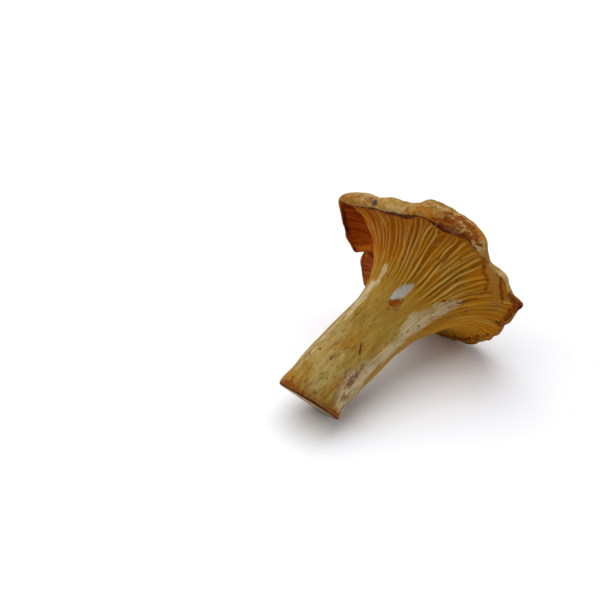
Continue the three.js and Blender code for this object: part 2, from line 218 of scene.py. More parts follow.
# Marks on the skin: how softly each kind ends in mm, and its strokes of (azimuth, along, half width in
# mm). Where a half width is below zero, the stroke shows only where its outline frays outwards.
MARKS = {
    "torn": (0.60, (
        ((-19.5, 1.045, 0.1), (-15.5, 1.095, 0.8), (-12, 1.14, 1.45), (-10.5, 1.18, 1.55),
         (-9, 1.22, 1.35), (-6.8, 1.26, 0.8), (-5, 1.29, 0.3)),
        ((0.4, 0.331, -0.02), (7.2, 0.328, -0.02)),
    )),
    "pale": (1.5, (
        ((-59.6, 1.338, 0.2), (-57, 1.275, 0.7), (-58, 1.207, 1.0), (-64, 1.135, 1.5), (-70, 1.062, 1.7),
         (-70, 0.98, 1.2), (-67, 0.91, 0.6), (-63, 0.83, 0.2), (-60, 0.72, -0.2), (-57, 0.60, -0.8)),
        ((45, 1.53, 0.4), (44.8, 1.44, 1.4), (45.2, 1.348, 2.1), (45, 1.255, 2.7), (43, 1.151, 3.0),
         (43.5, 1.05, 3.0), (45, 0.95, 2.9), (47, 0.855, 2.7), (49, 0.76, 2.5), (49, 0.66, 2.1),
         (48, 0.5, 1.5), (52, 0.35, 1.0)),
        ((-78, 0.92, -0.6), (-74, 0.80, -0.3), (-66, 0.50, -0.1), (-58, 0.36, -0.2), (-52, 0.22, -0.9)),
        ((-22, 0.52, -0.9), (-14, 0.46, -0.2), (-2, 0.42, -0.3), (4, 0.30, -0.9)),
    )),
    "mottled": (1.6, (
        ((48, 0.66, 0.8), (42, 0.56, 2.2), (40, 0.46, 3.2), (42, 0.35, 4.2), (47, 0.25, 4.8),
         (55, 0.12, 4.8), (65, 0.03, 3.6)),
        ((170, 0.75, 1.0), (185, 0.55, 2.6), (176, 0.35, 1.4)),
    )),
    "specked": (2.5, (
        ((-28, 0.95, 1.0), (-12, 0.97, 2.4), (2, 0.96, 2.2), (10, 0.88, 0.8)),
        ((60, 0.6, 1.0), (58, 0.45, 1.5)),
    )),
    "bald": (0.5, (
        ((21, 1.985, 0.6), (24.5, 1.965, 1.1), (28.5, 1.945, 1.4), (34.5, 1.915, 1.5), (43, 1.865, 1.3),
         (49, 1.80, 0.7)),
    )),
    "golden": (2.0, (
        ((-34, 2.3, 0.8), (-30, 2.35, 2.6), (-24, 2.30, 2.8), (-18, 2.2, 2.6), (-12, 2.25, 1.6)),
        ((-9, 2.99, 0.2), (-5, 2.93, 1.0), (0, 2.90, 1.6), (6, 2.7, 1.8), (10, 2.5, 1.4), (14, 2.4, 0.9)),
        ((12, 2.1, 1.0), (19, 2.0, 1.5)),
        ((5, 2.62, 0.3), (10, 2.50, 0.9), (15, 2.40, 1.1), (22, 2.42, 0.5)),
        ((58, 1.52, 0.2), (62, 1.38, 0.8), (66, 1.20, 1.1), (67, 1.0, 1.1), (69, 0.80, 1.0),
         (70, 0.60, 0.7), (74, 0.40, 0.2)),
        # Where painted shade lies on the folded lobe, these two strokes turn into a painted glow: a bright
        # orange along its edges.
        ((-127, 1.60, 0.1), (-127, 1.76, 0.6), (-127.5, 1.93, 0.4)),
        ((-141, 1.78, 0.2), (-140.5, 1.90, 0.7), (-140.5, 1.96, 0.8)),
        ((-110, 0.06, 0.8), (-80, 0.10, 1.8), (-62, 0.08, 1.0), (-48, 0.10, 0.2)),
    )),
    "faded": (1.0, (
        ((-25, 2.56, 0.4), (-20, 2.68, 1.3), (-16, 2.73, 1.4), (-12, 2.72, 0.9), (-8, 2.80, 0.4)),
        ((22, 2.4, 0.4), (30, 2.5, 0.6), (38, 2.4, 0.4)),
    )),
    "rust": (0.7, (
        ((-14.6, 2.6, 0.2), (-11.4, 2.69, 0.4), (-7.7, 2.72, 0.6), (-2.9, 2.67, 0.8), (0.7, 2.62, 1.0),
         (3.6, 2.5, 0.9), (6.7, 2.27, 0.5)),
        ((-1.5, 2.06, 0.5), (1.4, 2.2, 1.1), (3.8, 2.2, 0.8), (5.6, 2.0, 0.4)),
        ((-17.5, 2.25, 0.4), (-12, 2.4, 0.9), (-7, 2.5, 0.9), (-3, 2.4, 0.7)),
        ((7.7, 2.09, 0.4), (10.7, 2.18, 0.25)),
        ((19.3, 1.98, 0.3), (24, 1.93, 0.2), (27.7, 1.89, 0.4), (31, 1.86, 0.35), (38.8, 1.82, 0.3)),
        ((42, 2.3, 0.6), (46, 2.15, 1.5), (50, 2.0, 1.7), (54, 1.97, 0.9), (62, 1.96, 0.5),
         (72, 1.95, 0.2)),
        ((88, 1.97, 0.1), (96, 1.96, 0.3), (106, 1.95, 0.4), (116, 1.96, 0.4), (132, 1.97, 0.2)),
        ((-15, 1.045, 0.5), (-8.5, 1.06, 1.1), (-4, 1.10, 0.6)),
        ((-110, 0.03, 0.1), (-72, 0.03, 0.6), (-50, 0.03, 0.5), (-20, 0.03, 0.2), (20, 0.03, 0.1),
         (45, 0.03, 0.5), (80, 0.03, 0.3), (150, 0.02, 0.2)),
    )),
    "browned": (0.7, (
        ((-19, 2.01, 0.5), (-13, 2.06, 1.4), (-8.4, 2.12, 1.6), (-6, 2.28, 1.1), (-3.4, 2.24, 0.7)),
        ((-6, 2.04, 0.6), (1, 2.08, 1.1), (6, 2.04, 0.5)),
        ((14, 1.99, 0.1), (19, 1.985, 0.3), (30, 2.1, 0.1), (44, 2.0, 0.2), (49, 2.0, 0.7),
         (56, 1.99, 0.2), (66, 1.99, 0.3), (80, 2.0, 0.1), (98, 1.985, 0.25), (112, 1.98, 0.3),
         (128, 1.99, 0.2), (150, 2.0, 0.3), (178, 2.0, 0.5), (205, 2.0, 0.5), (225, 2.0, 0.4),
         (245, 2.0, 0.4), (262, 2.0, 0.4)),
        ((73, 1.90, 0.2), (68.5, 1.96, 0.4), (61, 1.985, 0.4)),
        ((74, 1.96, 0.3), (69, 2.05, 0.3)),
    )),
    "bruised": (0.25, (
        ((33, 1.40, 0.1), (37, 1.44, 0.25), (39, 1.49, 0.15)),
        ((-0.6, 1.66, 0.05), (0, 1.58, 0.2)),
        ((5.5, 1.67, 0.1), (5, 1.60, 0.25)),
        ((22, 1.66, 0.05), (24.5, 1.62, 0.2)),
        ((-49.5, 0.395, 0.35), (-47, 0.395, 0.35)),
        ((-20.5, 0.375, 0.3), (-19.5, 0.36, 0.3)),
        ((-62, 0.10, 0.25), (-60, 0.055, 0.3)),
        ((-7, 0.212, 0.2), (-5, 0.210, 0.2)),
        ((42, 1.01, 0.2), (43.4, 0.995, 0.3)),
    )),
    "cracked": (0.18, (
        ((-2.5, 0.632, 0.05), (1.5, 0.60, 0.22), (8, 0.55, 0.28), (13, 0.53, 0.08)),
        ((44.8, 1.505, 0.1), (45.4, 1.54, 0.35), (45.3, 1.60, 0.25), (45.2, 1.69, 0.1)),
        ((28.5, 2.02, 0.1), (30.6, 1.995, 0.3), (37.4, 1.955, 0.35), (44.3, 1.915, 0.42),
         (50.5, 1.875, 0.2)),
    )),
    "dark_edge": (0.2, (
        ((-103, 1.99, 0.2), (-85, 2.0, 0.25), (-66, 2.02, 0.35), (-50, 2.03, 0.6), (-38, 2.04, 0.8),
         (-30, 2.02, 0.4), (-22, 2.02, 0.55), (-14, 2.04, 0.8), (-8.5, 2.05, 0.5), (-4, 2.04, 0.2)),
        ((-98, 1.99, 0.2), (-105, 1.985, 0.32), (-115, 1.99, 0.38), (-128, 1.99, 0.36),
         (-141, 1.995, 0.32), (-152, 1.995, 0.15)),
        ((47, 2.0, 0.1), (49.4, 2.0, 0.5), (52, 2.0, 0.2)),
    )),
}

# How a pattern frays each mark's outline: how strongly, around which level and how softly.
FRAYED = {
    "torn": (0.8, 0.45, 0.14),
    "pale": (1.4, 0.40, 0.50),
    "mottled": (0.9, 0.40, 0.60),
    "bald": (0.8, 0.50, 0.60),
    "golden": (0.8, 0.40, 0.60),
    "faded": (1.0, 0.40, 0.50),
    "rust": (1.7, 0.36, 0.50),
    "browned": (1.2, 0.50, 0.25),
    "bruised": (0.5, 0.40, 0.30),
    "cracked": (0.5, 0.40, 0.30),
    "dark_edge": (0.45, 0.40, 0.30),
}

# Patterns of the flesh: width of the lumps in mm, the noise at which the pattern starts and where it
# is full, detail, roughness, and how slim the lumps are: their width as a share of their length along
# the axis, where they run as fibres.
PATTERNS = {
    "streaks": (3.0, 0.36, 0.66, 6, 0.70, 0.22),
    "threads": (1.0, 0.46, 0.72, 5, 0.70, 0.16),
    "blotches": (4.6, 0.47, 0.66, 6, 0.72, 0.50),
    "flecks": (1.4, 0.58, 0.68, 4, 0.65, 0.60),
    "grooves": (2.1, 0.50, 0.66, 6, 0.72, 0.10),
    "wide": (7.5, 0.50, 0.60, 4, 0.65, 0.36),
    "golden": (5.2, 0.54, 0.64, 5, 0.70, 0.50),
    "fray": (1.6, 0.20, 0.80, 4, 0.65, 0.16),
    "shreds": (1.5, 0.44, 0.60, 6, 0.75, 0.42),
    "tongues": (3.6, 0.25, 0.75, 6, 0.72, 0.22),
    "thin": (1.6, 0.46, 0.60, 6, 0.75, 0.45),
    "patches": (6.0, 0.40, 0.65, 4, 0.60),
    "uneven": (3.5, 0.20, 0.80, 4, 0.60, 0.50),
    "ragged": (1.3, 0.20, 0.80, 5, 0.70, 0.60),
    "inside": (1.6, 0.42, 0.68, 5, 0.70, 0.50),
    "pores": (0.5, 0.30, 0.70, 2),
    "stain_edge": (1.1, 0.20, 0.80, 6, 0.75),
    "stain_depth": (0.8, 0.30, 0.70, 3, 0.60),
    "rust_flecks": (2.2, 0.63, 0.72, 4, 0.70),
    "specks": (1.0, 0.50, 0.86, 2, 0.50),
    "cap_pale": (10, 0.44, 0.62, 6, 0.65),
    "cap_warm": (13, 0.47, 0.60, 7, 0.68),
    "cap_mottle": (3.2, 0.50, 0.66, 6, 0.70),
    "suede": (0.7, 0.40, 0.64, 4, 0.70),
    "dust": (1.2, 0.50, 0.66, 5, 0.72),
    "dimples": (1.6, 0.30, 0.70, 3),
    "cut_fibres": (0.9, 0.35, 0.70, 4, 0.60),
    "cut_stain": (4.0, 0.45, 0.70, 4, 0.60),
}
# The same along the meridians, where widths are in radians.
VEINS = (0.022, 0.35, 0.68, 3, 0.60, 0.10)
CAP_STREAKS = (0.06, 0.50, 0.70, 5, 0.65, 0.25)

# Lumps of soil stuck to the skin: (azimuth, along, width in mm), and the grains scattered between them,
# in patches that are wide, long and placed in the noise as in WRINKLES, off the ground by so many mm.
LUMPS = (
    (-65.5, 2.32, 1.7), (-63.5, 2.36, 0.9), (-71.5, 2.69, 0.7), (-74.3, 2.64, 0.5), (10.0, 1.975, 1.1),
    (7.6, 1.965, 0.5), (-25.1, 2.18, 0.5), (-15.1, 2.07, 0.7), (-2.8, 2.15, 0.5), (-76.6, 1.67, 0.5),
    (-115.9, 1.78, 0.4), (-35.5, 1.66, 0.5), (-24.3, 1.58, 0.4), (-59.0, 1.50, 0.4), (-35.2, 1.43, 0.5),
    (11.8, 1.77, 0.5), (43.9, 1.987, 0.6), (51.4, 1.82, 0.5), (89.8, 1.966, 0.5), (90, 1.875, 0.4),
    (57.3, 1.583, 0.4), (50.3, 1.125, 0.6), (29.7, 1.335, 0.5), (34.8, 1.438, 0.4), (23.5, 1.459, 0.4),
    (1.3, 1.035, 0.4), (-122, 1.52, 0.6), (-61.3, 0.072, 0.5), (-6, 0.211, 0.4), (128, 3.2, 1.3),
    (-150, 3.4, 1.6), (20, 3.7, 0.8),
)
SOIL_PATCHES = (14, 1, 12.0)
SOIL_SHARE = 0.35
SOIL_ABOVE = (2, 5)
GRAIN_SIZE = 0.45
GRAIN_DENSITY = 18000  # on a square metre

CAMERA_LENS = 85
CAMERA_AZIMUTH = -49.8  # 0 looks along +Y
CAMERA_ELEVATION = 31.6
CAMERA_DISTANCE = 394
CAMERA_AIM = (-13.8, 17.2, 26.8)
FLOOR_SIZE = 30
WORLD_LIGHT = 0.36
# Name, azimuth and elevation that it shines from, distance and size in metres, and power in watts.
LIGHTS = (
    ("overhead_light", 193, 69, 1.0, 1.9, 16.5),
    ("fill_light", 40, 12, 1.0, 0.8, 3.2),
)


def linear(code):
    """A colour's linear red, green and blue from its sRGB hex code."""
    parts = [int(code[i:i + 2], 16) / 255 for i in (1, 3, 5)]
    return tuple(c / 12.92 if c <= 0.04045 else ((c + 0.055) / 1.055) ** 2.4 for c in parts)


def smooth_line(knots, x):
    """Heights of a smooth curve through (x, y) knots, with slopes taken from the knots on either side."""
    kx, ky = (np.array(column, float) for column in zip(*knots))
    step = np.diff(kx)
    rise = np.diff(ky) / step
    inner = (rise[:-1] * step[1:] + rise[1:] * step[:-1]) / (step[:-1] + step[1:])
    slope = np.concatenate((rise[:1], inner, rise[-1:]))
    x = np.clip(x, kx[0], kx[-1])
    i = np.clip(np.searchsorted(kx, x) - 1, 0, len(step) - 1)
    t = (x - kx[i]) / step[i]
    eased = t * t * (3 - 2 * t)
    bend = t * (1 - t) * (slope[i] * (1 - t) - slope[i + 1] * t)
    return ky[i] * (1 - eased) + ky[i + 1] * eased + step[i] * bend


def smoothstep(low, high, x):
    t = np.clip((x - low) / (high - low), 0, 1)
    return t * t * (3 - 2 * t)


def window(start, end, x):
    """0 up to the first number of start, 1 from its second to the first of end, and 0 from its second."""
    return smoothstep(*start, x) * (1 - smoothstep(*end, x))


def near_azimuth(azimuth, middle):
    """Degrees from one azimuth to another, the short way round."""
    return (azimuth - middle + 180) % 360 - 180


def crinkle(kind, azimuth):
    """How far the fine crinkles move one measure of the margin."""
    a = np.radians(azimuth)
    return sum(
        size * np.sin(waves * a + phase + crowd * np.sin(beat * a))
        for size, waves, phase, crowd, beat in CRINKLES[kind]
    )


def margin_at(azimuth):
    """Reach, height, pitch, hold, lip height and lip bulge of the margin at each azimuth."""
    turned = (azimuth - FIRST_AZIMUTH) % 360 + FIRST_AZIMUTH
    before = [(row[0] - 360, *row[1:]) for row in MARGIN[-2:]]
    after = [(row[0] + 360, *row[1:]) for row in MARGIN[:2]]
    reach, height, pitch, lip, bulge = (
        smooth_line([(row[0], row[k]) for row in (*before, *MARGIN, *after)], turned) for k in range(1, 6)
    )
    reach = reach + crinkle("reach", azimuth)
    height = height + crinkle("height", azimuth)
    lip = lip * (1 + crinkle("lip", azimuth))
    turned = near_azimuth(azimuth, 0)
    wing = window(*WING, turned)
    pitch = pitch + (WING_PITCH - pitch) * wing
    hold = MARGIN_HOLD + (WING_HOLD - MARGIN_HOLD) * wing
    return reach, height, np.radians(pitch), hold, lip, bulge


def stem_radius(azimuth, height):
    oval = STEM_OVAL[0] * np.cos(2 * np.radians(azimuth - STEM_OVAL[1]))
    lobes = STEM_LOBES[0] * np.cos(3 * np.radians(azimuth - STEM_LOBES[1]))
    swell = sum(
        grow * np.exp(-(near_azimuth(azimuth, at) / wide) ** 2 - ((height - up) / tall) ** 2)
        for at, up, wide, tall, grow in STEM_SWELLS
    )
    return smooth_line(STEM_RADIUS, height) * (1 + oval + lobes) + swell


def cut_height(azimuth):
    a = np.radians(azimuth)
    sag = CUT_SAG[0] * (1 + np.cos(np.radians(azimuth - CUT_SAG[1])))
    return stem_radius(azimuth, 0) * (CUT_SKEW * np.sin(a) - CUT_SLOPE * np.cos(a)) - sag


def bezier(points, t):
    """A cubic curve's points at t, its control points given as (distance, height) pairs."""
    weights = ((1 - t) ** 3, 3 * t * (1 - t) ** 2, 3 * t * t * (1 - t), t ** 3)
    return tuple(sum(w * p[k] for w, p in zip(weights, points)) for k in (0, 1))


def profile(azimuth, along):
    """Distance from the axis and height of the plain skin."""
    azimuth, along = np.broadcast_arrays(np.asarray(azimuth, float), np.asarray(along, float))
    reach, height, pitch, margin_hold, lip, bulge = margin_at(azimuth)
    foot = stem_radius(azimuth, FLARE_START)
    foot_slope = foot - stem_radius(azimuth, FLARE_START - 1)
    off_far = near_azimuth(azimuth, FAR_SIDE[0]) / FAR_SIDE[1]
    hold = FLARE_HOLD + FLARE_HOLD_FAR * np.exp(-off_far ** 2)
    inward = margin_hold * (reach - foot)
    shoulder = (reach - SHOULDER_BACK * bulge, height + lip)
    t = along - np.floor(np.clip(along, -1, 3.999))

    cut = cut_height(azimuth)
    rim = stem_radius(azimuth, cut) * (1 + along)
    stem_height = cut + (FLARE_START - cut) * along
    rounding = CUT_ROUNDING * np.exp(-np.clip(stem_height - cut, 0, None) / CUT_ROUNDING)
    underside = bezier((
        (foot, FLARE_START + 0 * foot),
        (foot + foot_slope * hold, FLARE_START + hold),
        (reach - inward * np.cos(pitch), height - inward * np.sin(pitch)),
        (reach, height),
    ), t)
    edge = bezier((
        (reach, height),
        (reach + LIP_ROUND * bulge, height - EDGE_ROLL * lip),
        (shoulder[0] + LIP_ROUND * bulge, shoulder[1] - SHOULDER_ROLL * lip),
        shoulder,
    ), t)
    crown = bezier((
        shoulder,
        (shoulder[0] - SHOULDER_HOLD * cos(SHOULDER_SLOPE),
         shoulder[1] + SHOULDER_HOLD * sin(SHOULDER_SLOPE)),
        (CROWN_HOLD, CROWN_HEIGHT),
        (0, CROWN_HEIGHT),
    ), t)
    hollow = HOLLOW[0] * np.exp(-((crown[0] / HOLLOW[1]) ** 2))
    sections = (
        (along < 0, (rim - CUT_ROUNDING * (1 + along) ** 8, cut * (1 + along))),
        (along < 1, (stem_radius(azimuth, stem_height) - rounding, stem_height)),
        (along < 2, underside),
        (along < 3, edge),
    )
    distance, rise = crown[0], crown[1] - hollow
    for chosen, (d, h) in reversed(sections):
        distance, rise = np.where(chosen, d, distance), np.where(chosen, h, rise)
    return distance, rise


def place(azimuth, distance, height):
    a = np.radians(azimuth)
    return np.stack((
        distance * np.cos(a),
        distance * np.sin(a) - smooth_line(STEM_SWAY, height),
        height + 0 * a,
    ), axis=-1)


def skin_rings():
    """The rings of the skin from the middle of the cut to the middle of the crown: (columns, along)."""
    rings = [(1, -1.0)]
    half = COLUMNS // 2
    share = {part: (np.arange(count) + 1) / count for part, count in RINGS.items()}
    rings += [(half, t - 1) for t in np.sqrt(share["cut"])]
    rings += [(half, t) for t in share["stem"][:-1]]
    rings += [(COLUMNS, 1 + t) for t in (0, *share["flare"])]
    rings += [(COLUMNS, 2 + t) for t in share["lip"][:-1]]
    rings += [(half, 3 + t) for t in (0, *share["crown"][:-1])]
    rings.append((1, 4.0))
    return rings


def stitch(rings):
    """Faces between neighbouring rings, where one may have twice the points of the other or be a point,
    and for each face how far along it starts."""
    faces, bands = [], []
    start = 0
    for (below, low), (above, _) in zip(rings, rings[1:]):
        over, count = start + below, min(below, above)
        if below == above:
            i = np.arange(below)
            j = (i + 1) % below
            faces += np.stack((start + i, start + j, over + j, over + i), axis=1).tolist()
        elif count == 1:
            ring, tip, count = (over, start, above) if below == 1 else (start, over, below)
            for i in range(count):
                pair = (ring + i, ring + (i + 1) % count)
                faces.append([tip, *reversed(pair)] if below == 1 else [*pair, tip])
        else:
            few, many = (start, over) if below < above else (over, start)
            for i in range(count):
                a, b = few + i, few + (i + 1) % count
                c, d, e = many + 2 * i, many + 2 * i + 1, many + (2 * i + 2) % (2 * count)
                three = [[a, d, c], [a, b, d], [b, e, d]]
                faces += three if below < above else [face[::-1] for face in three]
        bands += [low] * (len(faces) - len(bands))
        start = over
    return faces, np.array(bands)


def grow_ridges(rng):
    """Crest lines of the ridges: rows of azimuths from the stem to the margin, the steps between which
    each rises, and how tall it is at each step."""
    steps = np.linspace(0, 1, RIDGE_STEPS)
    roots = [float(FIRST_AZIMUTH)]
    while roots[-1] < FIRST_AZIMUTH + 360:
        off = near_azimuth(roots[-1], FINE_LOBE[0]) / FINE_LOBE[1]
        spacing = RIDGE_SPACING - (RIDGE_SPACING - FINE_SPACING) * np.exp(-off ** 4)
        roots.append(roots[-1] + spacing * rng.uniform(*SPACING_SPREAD))
    lines, spans, tall = [], [], []

    def add(line, first, last, strength):
        uneven = 1 + UNEVEN * np.sin(2 * pi * (rng.uniform(1, 3) * steps + rng.uniform(0, 1)))
        lines.append(line)
        spans.append((first, last))
        tall.append(strength * uneven)

    for root in roots[:-1]:
        wander = sum(
            rng.normal(0, size) * np.sin(pi * turns * steps + rng.uniform(0, 2 * pi))
            for turns, size in WANDER
        )
        add(root + wander, rng.uniform(*RIDGE_START), PAST_MARGIN, rng.uniform(*RIDGE_TALL))
    count = len(lines)
    for i in range(count):
        beside = lines[(i + 1) % count] + (360 if i == count - 1 else 0)
        if rng.random() < FORK_SHARE:
            begin = rng.uniform(*FORK_START)
            part = smoothstep(0, FORK_RUN, steps - begin) * rng.uniform(*FORK_PLACE)
            add(lines[i] + part * (beside - lines[i]), begin, PAST_MARGIN, rng.uniform(*FORK_TALL))
        if rng.random() < BRIDGE_SHARE:
            begin = rng.uniform(*BRIDGE_START)
            part = smoothstep(0, BRIDGE_SPAN, steps - begin)
            if rng.random() < 0.5:
                part = 1 - part
            add(lines[i] + part * (beside - lines[i]), begin, begin + BRIDGE_SPAN, rng.uniform(*BRIDGE_TALL))
    return np.array(lines), np.array(spans), np.array(tall)


def ridge_field(azimuth, along, distance, rng):
    """For every point of the underside, how many mm it lies from the crest that shapes it, and how tall
    that ridge grows there."""
    lines, spans, tall = grow_ridges(rng)
    off_crest = np.full(len(azimuth), FAR_OFF)
    height = np.zeros(len(azimuth))
    turned = (azimuth - FIRST_AZIMUTH) % 360
    for value in np.unique(along[(along >= 1) & (along <= 2)]):
        row = np.flatnonzero(along == value)
        step = (value - 1) * (RIDGE_STEPS - 1)
        k = min(int(step), RIDGE_STEPS - 2)
        since, until = value - 1 - spans[:, 0], spans[:, 1] - (value - 1)
        active = np.flatnonzero((since > FADE_IN[0]) & (until > FADE_OUT[0]))
        at, grown = (
            table[active, k] + (table[active, k + 1] - table[active, k]) * (step - k)
            for table in (lines, tall)
        )
        grown = grown * smoothstep(*FADE_IN, since[active]) * smoothstep(*FADE_OUT, until[active])
        off = near_azimuth(turned[row][:, None], at[None, :] - FIRST_AZIMUTH)
        gaps = np.abs(off) * np.radians(distance[row])[:, None]
        shaping = np.argmax(grown * np.exp(-(gaps / RIDGE_WIDTH) ** 2), axis=1)
        off_crest[row] = gaps[np.arange(len(row)), shaping]
        height[row] = grown[shaping]
    return off_crest, height


def stroke_mask(points, stroke, softness):
    """How deep inside a stroke each point is, from 0 outside to 1."""
    azimuth, along, widths = (np.array(column, float) for column in zip(*stroke))
    centres = place(azimuth, *profile(azimuth, along))
    best = np.full(len(points), -1e9)
    for a, b, wa, wb in zip(centres, centres[1:], widths, widths[1:]):
        span = b - a
        t = np.clip((points - a) @ span / (span @ span), 0, 1)
        gap = np.linalg.norm(points - (a + t[:, None] * span), axis=1)
        best = np.maximum(best, wa + (wb - wa) * t - gap)
    return smoothstep(-softness, softness, best)


def swell(points, size, stretch=1.0, offset=0.0):
    """Smooth noise from -1 to 1 at each point, its lumps about size mm wide and stretched along the axis."""
    scaled = points / np.array((size, size, size * stretch)) + offset
    return np.fromiter((noise.noise(Vector(p)) for p in scaled), float, len(points))


def shape_skin(plain, along, marks):
    """The skin with its dents, wrinkles, cracks and tears, measured outwards from the axis."""
    wrinkles, dents = (
        sum(depth * swell(plain, *lumps) for depth, *lumps in kind) for kind in (WRINKLES, DENTS)
    )
    sunk = CRACK_DEPTH * marks["cracked"] + TEAR_DEPTH * marks["torn"]
    outwards = plain * (1, 1, 0)
    outwards /= np.maximum(np.linalg.norm(outwards, axis=1, keepdims=True), 1e-6)
    moved = window(*WRINKLED, along) * wrinkles - np.where(along < TORN_TO, sunk, 0)
    points = plain + outwards * moved[:, None]
    points[:, 2] += window(*DENTED, along) * dents
    return points


def ridge_rise(azimuth, along, marks):
    """How much of its height a ridge reaches at each point."""
    rise = window(*RIDGED, along)
    for middle, half, lower in SOFT_LOBES:
        rise = rise * (1 - lower * np.exp(-(near_azimuth(azimuth, middle) / half) ** 4))
    for name, lost in RIDGES_LOST.items():
        rise = rise * (1 - lost * marks[name])
    return rise


def painted_shade_and_light(azimuth, along):
    """How strongly painted shade, a darker, redder orange, shows at each point of the lobes and close under
    the lip, and how strongly painted light shows on the thin skirt.
    """
    turned = near_azimuth(azimuth, 0)
    shaded, bright, painted_light_end = (np.interp(turned, *zip(*table)) for table in (SHADED, PAINTED_LIGHT, PAINTED_LIGHT_END))
    under_lip_shade = UNDER_LIP_SHADE * smoothstep(1.55, 1.95, along) * window(*UNDER_LIP_SHADE_SIDE, turned)
    deep = np.maximum(shaded, under_lip_shade) * smoothstep(1.15, 1.6, along)
    return deep, bright * smoothstep(0.4, 0.75, along) * smoothstep(0.2, 0.0, along - painted_light_end)


def build_skin():
    """The mushroom's skin as a mesh, with the attributes that its ridges and its colours follow."""
    rng = np.random.default_rng(SEED)
    rings = skin_rings()
    azimuth = np.concatenate([FIRST_AZIMUTH + 360 * np.arange(n) / n for n, _ in rings])
    along = np.concatenate([np.full(n, value) for n, value in rings])
    distance, height = profile(azimuth, along)
    plain = place(azimuth, distance, height)
    off_crest, tall = ridge_field(azimuth, along, distance, rng)
    floats = {
        name: np.max([stroke_mask(plain, stroke, softness) for stroke in strokes], axis=0)
        for name, (softness, strokes) in MARKS.items()
    }
    points = shape_skin(plain, along, floats)
    turn = Matrix.Rotation(radians(90 - LEAN), 3, "Y") @ Matrix.Rotation(radians(ROLL), 3, "Z")
    lying = (points @ np.array(turn).T + SET_DOWN) * MM
    cake = SOIL_SHARE + swell(plain, *SOIL_PATCHES)
    lump = np.zeros(len(points))
    for lump_azimuth, lump_along, size in LUMPS:
        off = np.abs(near_azimuth(azimuth, lump_azimuth)) / 60 + np.abs(along - lump_along)
        lump[np.argmin(off)] = size * MM
    # deep is painted shade: a darker, redder orange on the lobes and close under the lip.
    deep, bright = painted_shade_and_light(azimuth, along)
    floats |= {
        "off_crest": off_crest * MM,
        "ridge_rise": tall * ridge_rise(azimuth, along, floats),
        "along": along,
        "deep": deep,
        "bright": bright,
        "soil": np.clip(cake, 0, 1) * smoothstep(*SOIL_ABOVE, lying[:, 2] / MM),
        "lump": lump,
    }
    angle = np.radians(azimuth)
    meridian = np.stack((np.cos(angle), np.sin(angle), along), axis=1)

    faces, bands = stitch(rings)
    mesh = bpy.data.meshes.new("mushroom_flesh")
    mesh.from_pydata(lying.tolist(), [], faces)
    mesh.shade_smooth()
    band = np.select([bands < 0, bands < 2], [0, 1], 2)
    values = [(name, "FLOAT", "POINT", "value", field) for name, field in floats.items()]
    values += [("grown", "FLOAT_VECTOR", "POINT", "vector", points * MM)]
    values += [("meridian", "FLOAT_VECTOR", "POINT", "vector", meridian)]
    values += [("band", "INT", "FACE", "value", band)]
    for name, kind, domain, key, field in values:
        flat = field.astype(np.int32 if kind == "INT" else np.float32).ravel()
        mesh.attributes.new(name, kind, domain).data.foreach_set(key, flat)
    return mesh


def add_node(tree, kind, inputs=None, output=0, **settings):
    """Adds a node, sets its properties, sets or links its inputs, and returns one of its outputs."""
    node = tree.nodes.new(kind)
    for name, value in settings.items():
        setattr(node, name, value)
    for key, value in (inputs or {}).items():
        if isinstance(value, bpy.types.NodeSocket):
            tree.links.new(value, node.inputs[key])
        else:
            node.inputs[key].default_value = value
    return node.outputs[output]


def times(tree, value, factor):
    return add_node(tree, "ShaderNodeMath", {0: value, 1: factor}, operation="MULTIPLY")


def sum_of(tree, *terms):
    """The weighted sum of (socket, weight) pairs."""
    total = 0.0
    for value, weight in terms:
        total = add_node(tree, "ShaderNodeMath", {0: value, 1: weight, 2: total}, operation="MULTIPLY_ADD")
    return total


def new_tree(name, inputs):
    """A Geometry Nodes tree with a geometry input and output and these named inputs."""
    tree = bpy.data.node_groups.new(name, "GeometryNodeTree")
    tree.interface.new_socket("Geometry", in_out="INPUT", socket_type="NodeSocketGeometry")
    for label, kind, value in inputs:
        socket = tree.interface.new_socket(label, in_out="INPUT", socket_type=kind)
        if value is not None:
            socket.default_value = value
    tree.interface.new_socket("Geometry", in_out="OUTPUT", socket_type="NodeSocketGeometry")
    return tree, tree.nodes.new("NodeGroupInput").outputs


def run_tree(obj, tree, values):
    """The plain mesh that a tree makes of an object, with the tree's inputs set by their identifiers."""
    modifier = obj.modifiers.new(tree.name, "NODES")
    modifier.node_group = tree
    for item in tree.interface.items_tree:
        if item.item_type == "SOCKET" and item.in_out == "INPUT" and item.name in values:
            modifier[item.identifier] = values[item.name]
    depsgraph = bpy.context.evaluated_depsgraph_get()
    mesh = bpy.data.meshes.new_from_object(
        obj.evaluated_get(depsgraph), preserve_all_data_layers=True, depsgraph=depsgraph)
    obj.modifiers.remove(modifier)
    return mesh


def carried(tree, kind, *names):
    """The attributes of the skin with these names, as fields of a Geometry Nodes tree."""
    return [
        add_node(tree, "GeometryNodeInputNamedAttribute", {"Name": name}, data_type=kind) for name in names
    ]


